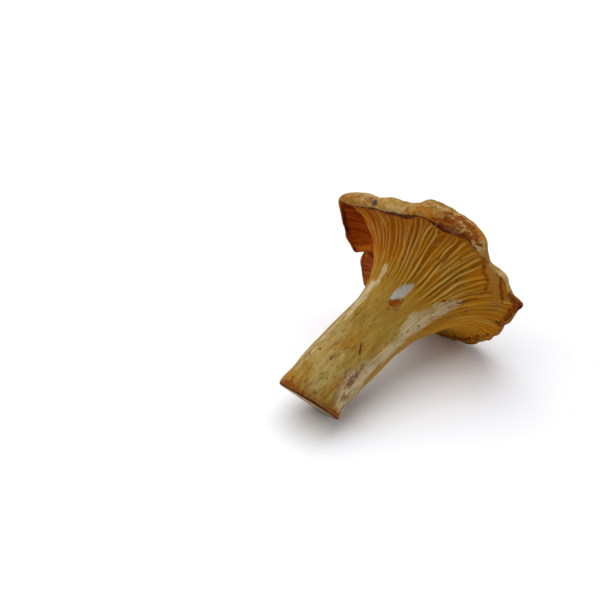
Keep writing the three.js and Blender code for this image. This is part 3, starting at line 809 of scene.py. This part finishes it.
def ridge_tree():
    """Raises the ridges: a rounded fold over every crest line, sinking to the valley between two."""
    materials = ("Cut material", "Underside material", "Cap material")
    tree, given = new_tree("raise_ridges", (
        ("Ridge height", "NodeSocketFloat", RIDGE_HEIGHT * MM),
        ("Ridge width", "NodeSocketFloat", RIDGE_WIDTH * MM),
        ("Valley depth", "NodeSocketFloat", VALLEY_DEPTH * MM),
        *((name, "NodeSocketMaterial", None) for name in materials),
    ))
    off_crest, rise = carried(tree, "FLOAT", "off_crest", "ridge_rise")
    band, = carried(tree, "INT", "band")
    away = add_node(tree, "ShaderNodeMath", {0: off_crest, 1: given["Ridge width"]}, operation="DIVIDE")
    falling = times(tree, times(tree, away, away), -1.0)
    fold = add_node(tree, "ShaderNodeMath", {0: falling}, operation="EXPONENT")
    ridge = times(tree, fold, rise)
    sunk = times(tree, rise, given["Valley depth"])
    lift = sum_of(tree, (ridge, given["Ridge height"]), (sunk, -1.0))
    normal = add_node(tree, "GeometryNodeInputNormal")
    offset = add_node(tree, "ShaderNodeVectorMath", {0: normal, "Scale": lift}, operation="SCALE")
    moved = add_node(tree, "GeometryNodeSetPosition", {"Geometry": given["Geometry"], "Offset": offset})
    stored = add_node(tree, "GeometryNodeStoreNamedAttribute", {
        "Geometry": moved, "Name": "ridge", "Value": ridge,
    }, data_type="FLOAT", domain="POINT")
    shape = add_node(tree, "GeometryNodeRealizeInstances", {"Geometry": stored})
    for number, name in enumerate(materials):
        chosen = add_node(tree, "FunctionNodeCompare", {2: band, 3: number},
                          data_type="INT", operation="EQUAL")
        shape = add_node(tree, "GeometryNodeSetMaterial", {
            "Geometry": shape, "Selection": chosen, "Material": given[name],
        })
    tree.links.new(shape, tree.nodes.new("NodeGroupOutput").inputs["Geometry"])
    return tree


def crumb(tree, subdivisions, seed):
    """A rough crumb one metre wide."""
    ball = add_node(tree, "GeometryNodeMeshIcoSphere", {"Radius": 0.5, "Subdivisions": subdivisions})
    spot = add_node(tree, "GeometryNodeInputPosition")
    rough = add_node(tree, "ShaderNodeTexNoise", {"Vector": spot, "W": seed, "Scale": 2.2, "Detail": 2.0},
                     output=1, noise_dimensions="4D")
    push = add_node(tree, "ShaderNodeVectorMath", {0: rough, 1: (0.5, 0.5, 0.5)}, operation="SUBTRACT")
    return add_node(tree, "GeometryNodeSetPosition", {"Geometry": ball, "Offset": push})


def soil_tree():
    """Scatters grains of soil over the skin, and sets a lump where the skin asks for one."""
    tree, given = new_tree("scatter_soil", (
        ("Grains on a square metre", "NodeSocketFloat", GRAIN_DENSITY),
        ("Grain size", "NodeSocketFloat", GRAIN_SIZE * MM),
        ("Seed", "NodeSocketInt", SEED),
        ("Material", "NodeSocketMaterial", None),
    ))
    cake, lump = carried(tree, "FLOAT", "soil", "lump")
    scattered = add_node(tree, "GeometryNodeDistributePointsOnFaces", {
        "Mesh": given["Geometry"], "Density": times(tree, cake, given["Grains on a square metre"]),
        "Seed": given["Seed"],
    })
    uneven = add_node(tree, "FunctionNodeRandomValue", {2: 0.35, 3: 1.0, "Seed": given["Seed"]}, output=1,
                      data_type="FLOAT")
    size = times(tree, uneven, given["Grain size"])
    wanted = add_node(tree, "FunctionNodeCompare", {0: lump, 1: 0.0},
                      data_type="FLOAT", operation="GREATER_THAN")
    lumps = add_node(tree, "GeometryNodeMeshToPoints", {"Mesh": given["Geometry"], "Selection": wanted})
    turn = add_node(tree, "FunctionNodeRandomValue", {1: (2 * pi, 2 * pi, 2 * pi), "Seed": given["Seed"]},
                    data_type="FLOAT_VECTOR")
    join = tree.nodes.new("GeometryNodeJoinGeometry")
    for points, fineness, scale in ((scattered, 1, size), (lumps, 3, lump)):
        stuck = add_node(tree, "GeometryNodeInstanceOnPoints", {
            "Points": points, "Instance": crumb(tree, fineness, fineness), "Rotation": turn, "Scale": scale,
        })
        tree.links.new(stuck, join.inputs[0])
    loose = add_node(tree, "GeometryNodeRealizeInstances", {"Geometry": join.outputs[0]})
    done = add_node(tree, "GeometryNodeSetMaterial", {"Geometry": loose, "Material": given["Material"]})
    tree.links.new(done, tree.nodes.new("NodeGroupOutput").inputs["Geometry"])
    return tree


def attribute(tree, name, output="Fac"):
    return add_node(tree, "ShaderNodeAttribute", output=output, attribute_name=name)


def ramp(tree, value, low, high):
    """0 where the value is at low, 1 where it is at high, and smooth between them."""
    return add_node(tree, "ShaderNodeMapRange", {
        "Value": value, "From Min": low, "From Max": high,
    }, interpolation_type="SMOOTHSTEP")


def speckle(tree, place_on, size, low, high, detail=3.0, rough=0.55, slimness=1.0):
    """Noise with lumps of this width in metres, their width slimness times their length along the axis,
    stretched to 0 at low and 1 at high."""
    spot = add_node(tree, "ShaderNodeVectorMath", {0: place_on, 1: (1, 1, slimness)}, operation="MULTIPLY")
    grain = add_node(tree, "ShaderNodeTexNoise", {
        "Vector": spot, "Scale": 1 / size, "Detail": detail, "Roughness": rough,
    })
    return ramp(tree, grain, low, high)


def patterns(tree, *names):
    """These patterns of the flesh, in the frame that it grew in."""
    grown = attribute(tree, "grown", "Vector")
    return [speckle(tree, grown, PATTERNS[name][0] * MM, *PATTERNS[name][1:]) for name in names]


def marked(tree, name, pattern, fray=None):
    """Where a mark lies on the skin, its outline frayed by a pattern."""
    usual, level, width = FRAYED[name]
    fray = fray or usual
    mark = attribute(tree, name)
    frayed = ramp(tree, sum_of(tree, (mark, 1.0), (pattern, fray)),
                  level + fray / 2 - width / 2, level + fray / 2 + width / 2)
    return times(tree, frayed, ramp(tree, mark, 0.0, 0.12))


def layered(tree, colours, base, *layers):
    """A colour with others laid over it in turn: (where it lies, how much it covers, the colour)."""
    result, *over = (
        (*colours[colour], 1) if isinstance(colour, str) else colour
        for colour in (base, *(layer[2] for layer in layers))
    )
    for (where, share, _), colour in zip(layers, over):
        result = add_node(tree, "ShaderNodeMix", {
            0: times(tree, where, share), 6: result, 7: colour,
        }, output=2, data_type="RGBA")
    return result


def new_material(name):
    """An empty node material, its tree and its surface shader."""
    material = bpy.data.materials.new(name)
    material.use_nodes = True
    tree = material.node_tree
    return material, tree, tree.nodes["Principled BSDF"]


def finish_flesh(tree, shader, colour, height, roughness, grain):
    """Soft, slightly see-through mushroom flesh of this colour and relief: the relief is grain metres
    deep, and roughness is a pattern with the roughness where it is 0 and where it is 1."""
    pattern, smooth, rough = roughness
    bump = add_node(tree, "ShaderNodeBump", {"Height": height, "Distance": grain, "Strength": 1.0})
    dull = add_node(tree, "ShaderNodeMapRange", {"Value": pattern, "To Min": smooth, "To Max": rough})
    for name, value in (("Base Color", colour), ("Normal", bump), ("Roughness", dull)):
        tree.links.new(value, shader.inputs[name])
    shader.inputs["IOR"].default_value = 1.4
    shader.inputs["Specular IOR Level"].default_value = 0.05
    shader.inputs["Subsurface Weight"].default_value = 0.2
    shader.inputs["Subsurface Radius"].default_value = (1.0, 0.45, 0.12)
    shader.inputs["Subsurface Scale"].default_value = 0.8 * MM


def rubbed_off(tree, colours, colour, fibre):
    """Shows pinkish-cream fibres where the skin is rubbed off, thinning out towards ragged ends."""
    tongues, thin = patterns(tree, "tongues", "thin")
    worn = sum_of(tree, (marked(tree, "pale", tongues), 0.95), (thin, -0.35))
    flesh = layered(tree, colours, "flesh_cream", (fibre, 0.7, "flesh_tan"), (thin, 0.6, "flesh_tan"))
    return layered(tree, colours, colour, (worn, 1.0, flesh))


def stem_colour(tree, colours):
    """Olive-yellow stem with fibres running up it, tan blotches, pale torn streaks and a browned foot."""
    streaks, threads, blotches, flecks, grooves, wide, golden, fray, shreds = patterns(
        tree, "streaks", "threads", "blotches", "flecks", "grooves", "wide", "golden", "fray", "shreds")
    along = attribute(tree, "along")
    upper = ramp(tree, sum_of(tree, (along, 1.0), (blotches, 0.3)), 0.55, 1.15)
    colour = layered(
        tree, colours, "stem_olive",
        (streaks, 1.0, "stem_pale"),
        (blotches, 0.85, "stem_tan"),
        (grooves, 0.6, "stem_rust"),
        (wide, 0.6, "stem_cream"),
        (golden, 0.55, "stem_gold"),
        (upper, 0.5, "throat"),
        (threads, 0.55, "stem_brown"),
        (flecks, 0.6, "stem_brown"),
        (attribute(tree, "specked"), 0.45, "stem_tan"),
    )
    # Where the skin has been rubbed off, pinkish-cream fibres show, and brown shreds of skin are left.
    colour = rubbed_off(tree, colours, colour, threads)
    soiled = layered(tree, colours, "flesh_cream", (shreds, 1.0, "foot_brown"))
    # The skin dries brown next to the cut.
    dry = ramp(tree, sum_of(tree, (along, 1.0), (blotches, -0.12), (fray, -0.04)), 0.13, -0.05)
    rim = ramp(tree, sum_of(tree, (along, 1.0), (fray, -0.016)), 0.014, -0.002)
    return layered(
        tree, colours, colour,
        (marked(tree, "mottled", shreds), 0.75, soiled),
        (dry, 0.85, "stem_rim"),
        (rim, 0.85, "dark_edge"),
    )


def stains(tree, colours, colour):
    """Rust patches, the browned margin, bruises, cracks and specks, over any part of the skin."""
    ragged, deep, flecks, grain = patterns(tree, "stain_edge", "stain_depth", "rust_flecks", "specks")
    rust = layered(tree, colours, "rust", (deep, 1.0, "rust_dark"))
    brown = layered(tree, colours, "browned", (deep, 1.0, "dark_edge"))
    specks = ramp(tree, sum_of(tree, (grain, 1.0), (attribute(tree, "specked"), 0.22)), 0.62, 0.78)
    return layered(
        tree, colours, colour,
        (flecks, 0.5, rust),
        (marked(tree, "rust", ragged), 0.9, rust),
        (marked(tree, "browned", ragged), 0.8, brown),
        (marked(tree, "bruised", ragged), 0.85, "bruised"),
        (marked(tree, "cracked", ragged), 0.85, "bruised"),
        (marked(tree, "dark_edge", ragged), 0.9, "dark_edge"),
        (specks, 0.75, "speck"),
    )


def underside_material(colours):
    """Stem and ridges, bare flesh without a skin: fibrous and olive-yellow on the stem, waxy gold on the
    crests, which are rubbed duller, and orange in the valleys, where the flesh stays moist."""
    material, tree, shader = new_material("stem_and_ridges")
    along, deep, bright, ridge = (attribute(tree, name) for name in ("along", "deep", "bright", "ridge"))
    patches, uneven, fray, ragged, inside, pores = patterns(
        tree, "patches", "uneven", "fray", "ragged", "inside", "pores")
    veins = speckle(tree, attribute(tree, "meridian", "Vector"), *VEINS)
    # Painted light: the stem turns a brighter yellow next to the thin skirt.
    stem = layered(tree, colours, stem_colour(tree, colours), (bright, 0.25, "stem_painted_light"))
    # Painted shade: where deep, the valleys and crests turn a darker, redder orange, standing in for the
    # shade on the lobes and under the lip. Painted light: on the thin skirt they turn a brighter orange.
    valley = layered(
        tree, colours, "valley",
        (patches, 1.0, "valley_dull"), (deep, 1.0, "valley_painted_shade"), (bright, 0.45, "crest_painted_light"))
    crest = layered(
        tree, colours, "crest",
        (patches, 1.0, "crest_dull"), (deep, 1.0, "crest_painted_shade"), (bright, 0.7, "crest_painted_light"))
    lit = ramp(tree, sum_of(tree, (ridge, 1.0), (veins, 0.22)), 0.10, 0.95)
    edge = ramp(tree, sum_of(tree, (ridge, 1.0), (veins, 0.15)), 0.80, 1.10)
    throat = ramp(tree, sum_of(tree, (along, 1.0), (patches, 0.15)), 1.62, 1.12)
    # The pale line along the top of each crest is a painted highlight, left out where painted shade lies.
    ridged = layered(
        tree, colours, valley,
        (lit, 1.0, crest),
        (sum_of(tree, (edge, 0.7), (deep, -0.65)), 1.0, "crest_painted_highlight"),
        (throat, 0.7, "throat"),
        (marked(tree, "bald", patches), 0.8, "bald"),
    )
    flare = ramp(tree, sum_of(tree, (along, 1.0), (uneven, 0.20)), 1.06, 1.38)
    colour = layered(tree, colours, stem, (flare, 1.0, ridged))
    colour = rubbed_off(tree, colours, colour, veins)
    # On the folded lobe, where painted shade lies, golden strokes take a painted glow: a bright orange along
    # the fold's edges.
    gold = layered(tree, colours, "stem_gold", (deep, 1.0, "fold_painted_glow"))
    # A torn place shows the white flesh, its edges ragged along the fibres.
    torn = layered(tree, colours, "flesh_white", (inside, 0.8, "flesh_tan"))
    colour = layered(
        tree, colours, colour,
        (marked(tree, "golden", fray), 0.7, gold),
        (marked(tree, "torn", ragged), 1.0, torn),
    )
    relief = sum_of(tree, (veins, 0.35), (pores, 0.4), (fray, 0.45), (uneven, 0.3))
    finish_flesh(tree, shader, stains(tree, colours, colour), relief, (uneven, 0.48, 0.66), 0.18 * MM)
    return material


def cap_material(colours):
    """Cap skin: dry and suede-like, so its colour breaks up into fine grains, tan with paler, golden and
    orange-brown patches where it has been wet, rubbed or sunned."""
    material, tree, shader = new_material("cap_skin")
    pale, warm, mottle, suede, dust, dimples = patterns(
        tree, "cap_pale", "cap_warm", "cap_mottle", "suede", "dust", "dimples")
    streaks = speckle(tree, attribute(tree, "meridian", "Vector"), *CAP_STREAKS)
    amber = layered(tree, colours, "cap_amber", (suede, 1.0, "cap_gold"))
    bleached = layered(tree, colours, "cap_pale", (suede, 1.0, "cap_tan"))
    colour = layered(
        tree, colours, "cap_tan",
        (pale, 1.0, "cap_pale"),
        (warm, 0.75, "cap_gold"),
        (mottle, 0.55, "cap_brown"),
        (streaks, 0.35, "cap_pale"),
        (suede, 0.55, "cap_brown"),
        (dust, 0.40, "cap_pale"),
        (marked(tree, "golden", mottle, 0.9), 0.85, amber),
        (marked(tree, "faded", mottle), 0.75, bleached),
    )
    relief = sum_of(tree, (suede, 0.8), (dimples, 0.6), (mottle, -0.5))
    finish_flesh(tree, shader, stains(tree, colours, colour), relief, (suede, 0.60, 0.80), 0.16 * MM)
    return material


def cut_material(colours):
    """The knife's cut across the foot: pale, finely fibrous flesh inside a browned rim."""
    material, tree, shader = new_material("cut_flesh")
    fibres, stain = patterns(tree, "cut_fibres", "cut_stain")
    rim = ramp(tree, sum_of(tree, (attribute(tree, "along"), 1.0), (stain, 0.1)), -0.34, 0.0)
    colour = layered(
        tree, colours, "flesh_cream",
        (fibres, 1.0, "flesh_tan"),
        (sum_of(tree, (stain, 0.4), (fibres, 0.3)), 1.0, "foot_brown"),
        (rim, 1.0, "stem_brown"),
    )
    finish_flesh(tree, shader, stains(tree, colours, colour), fibres, (fibres, 0.5, 0.65), 0.1 * MM)
    return material


def soil_material(colours):
    """Forest soil: dry, matt, grey-brown crumbs, lighter where they have dried."""
    material, tree, shader = new_material("soil")
    crumbs = speckle(tree, add_node(tree, "ShaderNodeTexCoord", output="Object"), 0.6 * MM, 0.3, 0.7)
    colour = layered(tree, colours, "soil_dark", (crumbs, 1.0, "soil_light"))
    tree.links.new(colour, shader.inputs["Base Color"])
    shader.inputs["Roughness"].default_value = 0.9
    return material


def add_object(mesh, name):
    obj = bpy.data.objects.new(name, mesh)
    bpy.context.scene.collection.objects.link(obj)
    return obj


def colour_property(name, description, code):
    return bpy.props.FloatVectorProperty(
        name=name, description=description, subtype="COLOR", size=3, min=0, max=1, default=linear(code))


class MushroomColours(bpy.types.PropertyGroup):
    """The colours of the flesh, the skin and the soil."""
    stem_olive: colour_property("Stem, olive", "Main colour of the stem", "#8c6a24")
    stem_pale: colour_property("Stem, pale", "Palest streaks of the stem", "#a48c44")
    stem_tan: colour_property("Stem, tan", "Warm blotches of the stem", "#8a5c1a")
    stem_rust: colour_property("Stem, rust", "Orange-brown streaks of the stem", "#875408")
    stem_cream: colour_property("Stem, cream", "Wide pale patches of the stem", "#ae9a5e")
    stem_gold: colour_property("Stem, gold", "Golden patches of the stem", "#a0691a")
    stem_brown: colour_property("Stem, brown", "Brown threads of the stem and its foot", "#5c3b14")
    stem_rim: colour_property("Stem, rim", "Skin dried brown next to the cut", "#7a5018")
    foot_brown: colour_property("Foot, brown", "Brown shreds of skin on the foot", "#6f4e3a")
    throat: colour_property("Throat", "Where the ridges run out on the stem", "#947020")
    crest: colour_property("Crest", "Top of a ridge", "#ae7d1c")
    # Painted highlight: the pale line along the top of a ridge.
    crest_painted_highlight: colour_property("Crest, painted highlight", "Pale line along the top of a ridge", "#bf9a52")
    crest_dull: colour_property("Crest, dull", "Worn top of a ridge", "#aa8232")
    valley: colour_property("Valley", "Flesh between two ridges", "#a26208")
    valley_dull: colour_property("Valley, dull", "Browner flesh between two ridges", "#926018")
    # Painted light: the brighter orange of the ridges on the thin skirt, and the brighter yellow of the stem
    # below it.
    crest_painted_light: colour_property("Ridges, thin skirt", "Where light comes through the flesh", "#d6901a")
    stem_painted_light: colour_property("Stem, near skirt", "Yellow skin below the ridges", "#ccac50")
    # Painted glow: the bright orange along the edges of the folded lobe.
    fold_painted_glow: colour_property("Fold", "Orange edge of the folded lobe", "#cc7410")
    # Painted shade: the darker, redder crests and valleys of the lobe behind the stem.
    crest_painted_shade: colour_property("Crest, shaded lobe", "Ridges of the lobe behind the stem", "#a65004")
    valley_painted_shade: colour_property(
        "Valley, shaded lobe", "Between the ridges of the lobe behind the stem", "#862e00")
    bald: colour_property("Bald", "Smooth band without ridges near the margin", "#a0702a")
    flesh_white: colour_property("Flesh, white", "Freshly torn flesh", "#a4a093")
    flesh_cream: colour_property("Flesh, cream", "Rubbed and cut flesh", "#c4b28a")
    flesh_tan: colour_property("Flesh, tan", "Darker fibres of rubbed and cut flesh", "#9a7d48")
    rust: colour_property("Rust", "Orange-brown patches", "#8a4404")
    rust_dark: colour_property("Rust, dark", "Darkest parts of the orange-brown patches", "#682a04")
    browned: colour_property("Browned", "Dry, browned margin", "#7c3c04")
    bruised: colour_property("Bruised", "Bruises and cracks", "#6e2c08")
    dark_edge: colour_property("Dark edge", "Dark line along the margin", "#46170c")
    speck: colour_property("Specks", "Dark specks in the skin", "#3c2617")
    cap_tan: colour_property("Cap, tan", "Main colour of the cap", "#b08a44")
    cap_pale: colour_property("Cap, pale", "Pale patches of the cap", "#c8ac74")
    cap_gold: colour_property("Cap, gold", "Golden-orange patches of the cap", "#885004")
    cap_amber: colour_property("Cap, amber", "Lighter grain of the golden-orange patches", "#a86a12")
    cap_brown: colour_property("Cap, brown", "Dark grain of the cap's suede", "#7c4e12")
    soil_dark: colour_property("Soil, dark", "Dark crumbs", "#3b2d22")
    soil_light: colour_property("Soil, light", "Light crumbs", "#665a4c")


def length_property(name, description, millimetres):
    return bpy.props.FloatProperty(
        name=name, description=description, default=millimetres * MM, min=0, unit="LENGTH", precision=5)


class MushroomSizes(bpy.types.PropertyGroup):
    """The sizes of the ridges and the soil."""
    ridge_height: length_property("Ridge height", "Height of a ridge above its valley", RIDGE_HEIGHT)
    ridge_width: length_property(
        "Ridge width", "From a crest to where the ridge is down to a third", RIDGE_WIDTH)
    valley_depth: length_property(
        "Valley depth", "How far the valleys sink below the plain flare", VALLEY_DEPTH)
    grain_size: length_property("Grain size", "Width of the largest scattered grain of soil", GRAIN_SIZE)
    grain_density: bpy.props.FloatProperty(
        name="Grain density", description="Grains on a square metre where soil lies thickest",
        default=GRAIN_DENSITY, min=0)


class OBJECT_OT_mushroom_flesh(bpy.types.Operator):
    """Builds the mushroom, from the cut to the crown, with its ridges"""
    bl_idname = "object.mushroom_flesh"
    bl_label = "Mushroom"

    def execute(self, context):
        sizes = context.scene.mushroom_sizes
        colours = palette(context)
        base = add_object(build_skin(), "mushroom_base")
        mesh = run_tree(base, ridge_tree(), {
            "Ridge height": sizes.ridge_height,
            "Ridge width": sizes.ridge_width,
            "Valley depth": sizes.valley_depth,
            "Cut material": cut_material(colours),
            "Underside material": underside_material(colours),
            "Cap material": cap_material(colours),
        })
        bpy.data.objects.remove(base)
        # Soft flesh gives way where it touches the ground.
        for vertex in mesh.vertices:
            vertex.co.z = max(vertex.co.z, LOW.z)
        flesh = add_object(mesh, "chanterelle")
        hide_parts("mushroom")
        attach(flesh, "root")
        return {"FINISHED"}


class OBJECT_OT_mushroom_soil(bpy.types.Operator):
    """Scatters grains and lumps of soil over the mushroom"""
    bl_idname = "object.mushroom_soil"
    bl_label = "Soil"

    def execute(self, context):
        sizes = context.scene.mushroom_sizes
        skin = add_object(bpy.data.objects["chanterelle"].data, "soiled_skin")
        mesh = run_tree(skin, soil_tree(), {
            "Grains on a square metre": sizes.grain_density,
            "Grain size": sizes.grain_size,
            "Seed": SEED,
            "Material": soil_material(palette(context)),
        })
        bpy.data.objects.remove(skin)
        soil = add_object(mesh, "soil")
        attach(soil, "root")
        return {"FINISHED"}


class OBJECT_OT_mushroom_stage(bpy.types.Operator):
    """Adds the floor, the soft studio light and the camera"""
    bl_idname = "object.mushroom_stage"
    bl_label = "Stage"

    def execute(self, context):
        middle = (LOW + HIGH) / 2
        bpy.ops.mesh.primitive_plane_add(size=FLOOR_SIZE, location=(0, 0, LOW.z))
        floor = context.object
        floor.name = "floor"
        material, _, shader = new_material("paper_sweep")
        shader.inputs["Base Color"].default_value = (*linear("#f6f6f6"), 1)
        shader.inputs["Roughness"].default_value = 0.9
        shader.inputs["Specular IOR Level"].default_value = 0.1
        floor.data.materials.append(material)

        world = bpy.data.worlds.new("studio")
        context.scene.world = world
        world.use_nodes = True
        background = world.node_tree.nodes["Background"]
        background.inputs["Color"].default_value = (*linear("#eef3ff"), 1)
        background.inputs["Strength"].default_value = WORLD_LIGHT
        for name, azimuth, elevation, distance, size, power in LIGHTS:
            lamp = bpy.data.lights.new(name, "AREA")
            lamp.shape, lamp.size, lamp.energy = "DISK", size, power
            holder = add_object(lamp, name)
            aim(holder, middle, azimuth, elevation, distance)

        camera = bpy.data.cameras.new("camera")
        camera.lens, camera.sensor_width = CAMERA_LENS, 36
        camera.clip_start = 0.01
        holder = add_object(camera, "camera")
        aim(holder, Vector(CAMERA_AIM) * MM, CAMERA_AZIMUTH, CAMERA_ELEVATION, CAMERA_DISTANCE * MM)
        context.scene.camera = holder
        context.scene.view_settings.view_transform = "Standard"
        return {"FINISHED"}


def aim(obj, target, azimuth, elevation, distance):
    """Puts an object at this azimuth and elevation round a target, looking at it."""
    a, e = radians(azimuth), radians(elevation)
    back = Vector((sin(a) * cos(e), -cos(a) * cos(e), sin(e)))
    obj.location = target + back * distance
    obj.rotation_mode = "QUATERNION"
    obj.rotation_quaternion = (-back).to_track_quat("-Z", "Y")


def palette(context):
    group = context.scene.mushroom_colours
    return {name: tuple(getattr(group, name)) for name in MushroomColours.__annotations__}


class VIEW3D_PT_mushroom(bpy.types.Panel):
    """Builds the mushroom and sets its colours and sizes"""
    bl_label = "Mushroom"
    bl_space_type = "VIEW_3D"
    bl_region_type = "UI"
    bl_category = "Mushroom"

    def draw(self, context):
        for operator in OPERATORS:
            self.layout.operator(operator.bl_idname)
        for group in (context.scene.mushroom_sizes, context.scene.mushroom_colours):
            for name in type(group).__annotations__:
                self.layout.prop(group, name)


OPERATORS = (OBJECT_OT_mushroom_flesh, OBJECT_OT_mushroom_soil, OBJECT_OT_mushroom_stage)
CLASSES = (MushroomColours, MushroomSizes, *OPERATORS, VIEW3D_PT_mushroom)


def register():
    for cls in CLASSES:
        bpy.utils.register_class(cls)
    bpy.types.Scene.mushroom_colours = bpy.props.PointerProperty(type=MushroomColours)
    bpy.types.Scene.mushroom_sizes = bpy.props.PointerProperty(type=MushroomSizes)


def unregister():
    del bpy.types.Scene.mushroom_colours
    del bpy.types.Scene.mushroom_sizes
    for cls in reversed(CLASSES):
        bpy.utils.unregister_class(cls)


def main():
    register()
    bpy.ops.object.mushroom_flesh()
    bpy.ops.object.mushroom_soil()
    bpy.ops.object.mushroom_stage()


if __name__ == "__main__":
    main()
